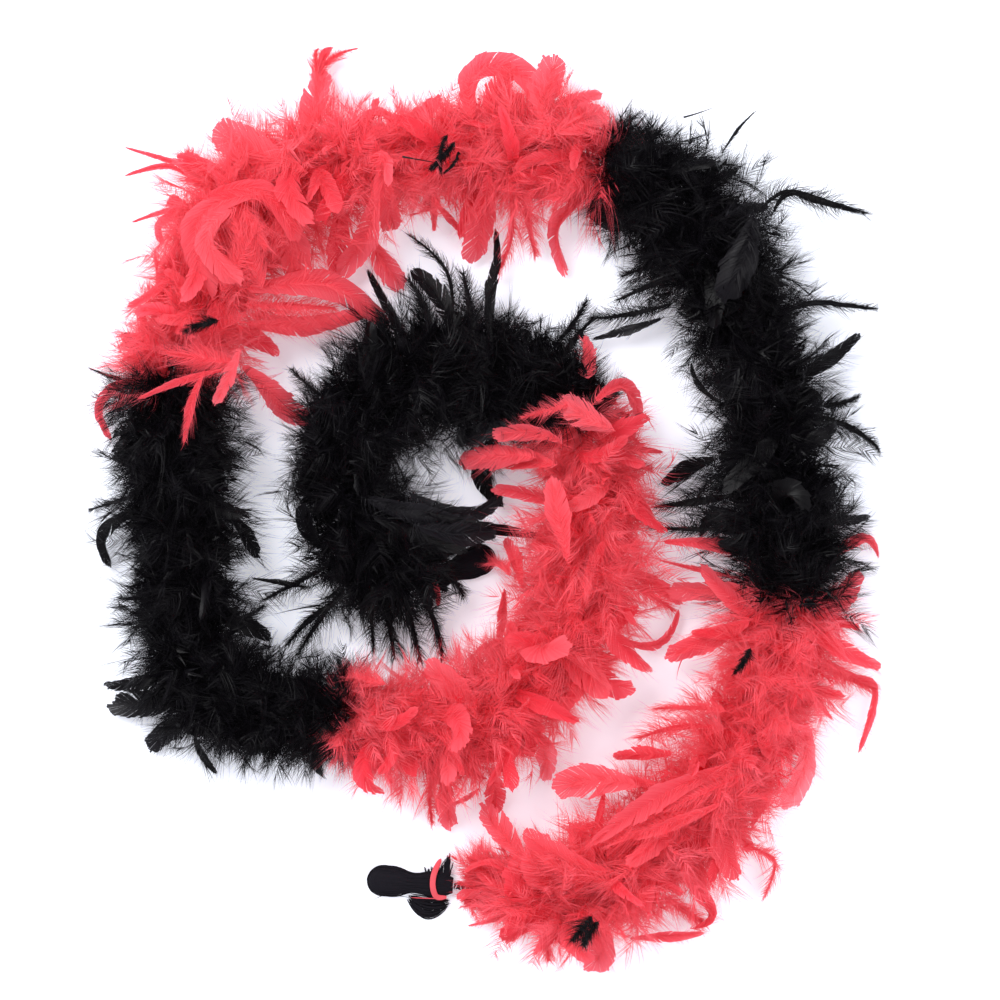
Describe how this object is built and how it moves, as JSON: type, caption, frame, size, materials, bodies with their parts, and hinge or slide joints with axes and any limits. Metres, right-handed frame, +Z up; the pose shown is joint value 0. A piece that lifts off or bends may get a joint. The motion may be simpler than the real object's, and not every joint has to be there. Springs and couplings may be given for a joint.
{
  "type": "feather boa",
  "caption": "Fluffy feather boa in alternating red and black blocks on a yarn core with a loop at each end, laid out as a flat spiral.",
  "frame": {"origin": "middle of the spiral's footprint, on the surface that the boa lies on", "axes": "+Z up from the surface; +Y from the outer loop's side of the spiral towards the far side; +X right-handed with them"},
  "size_m": [0.4281, 0.5013, 0.0591],
  "materials": {
    "red_feather": "soft satin feather",
    "black_feather": "soft satin feather",
    "black_yarn": "matte twisted cotton",
    "white_thread": "matte sewing thread"
  },
  "bodies": {
    "section_1": {"core_cord_1": "black_yarn", "stitch_thread_1": "white_thread", "plumage_1": "red_feather"},
    "section_2": {"core_cord_2": "black_yarn", "stitch_thread_2": "white_thread", "plumage_2": "black_feather"},
    "section_3": {"core_cord_3": "black_yarn", "stitch_thread_3": "white_thread", "plumage_3": "red_feather"},
    "section_4": {"core_cord_4": "black_yarn", "stitch_thread_4": "white_thread", "plumage_4": "black_feather"},
    "section_5": {"core_cord_5": "black_yarn", "stitch_thread_5": "white_thread", "plumage_5": "red_feather"},
    "section_6": {"core_cord_6": "black_yarn", "stitch_thread_6": "white_thread", "plumage_6": "black_feather"},
    "outer_end": {"outer_loop": "black_yarn", "outer_fold": "black_yarn", "outer_cut_ends": "black_yarn", "outer_strip": "red_feather"},
    "inner_end": {"inner_loop": "black_yarn", "inner_fold": "black_yarn", "inner_cut_ends": "black_yarn", "inner_strip": "black_feather"}
  },
  "joints": [
    {"name": "bend_3_4", "type": "hinge", "parent": "section_4", "child": "section_3", "pos_m": [-0.183, 0.077, 0.024], "axis": [0, 0, 1], "range_deg": [0, 25]},
    {"name": "bend_2_3", "type": "hinge", "parent": "section_3", "child": "section_2", "pos_m": [0.072, 0.203, 0.024], "axis": [0, 0, 1], "range_deg": [0, 45]},
    {"name": "bend_1_2", "type": "hinge", "parent": "section_2", "child": "section_1", "pos_m": [0.181, -0.053, 0.024], "axis": [0, 0, 1], "range_deg": [0, 60]},
    {"name": "outer_end_swing", "type": "hinge", "parent": "section_1", "child": "outer_end", "pos_m": [-0.017, -0.219, 0.005], "axis": [0, 0, 1], "range_deg": [-35, 35]},
    {"name": "bend_4_5", "type": "hinge", "parent": "section_4", "child": "section_5", "pos_m": [-0.08, -0.121, 0.024], "axis": [0.29, -0.957, 0], "range_deg": [0, 45]},
    {"name": "bend_5_6", "type": "hinge", "parent": "section_5", "child": "section_6", "pos_m": [0.06, 0.054, 0.024], "axis": [0, 1, 0], "range_deg": [0, 45]},
    {"name": "inner_end_swing", "type": "hinge", "parent": "section_6", "child": "inner_end", "pos_m": [-0.041, -0.046, 0.005], "axis": [0, 0, 1], "range_deg": [-30, 10]}
  ]
}
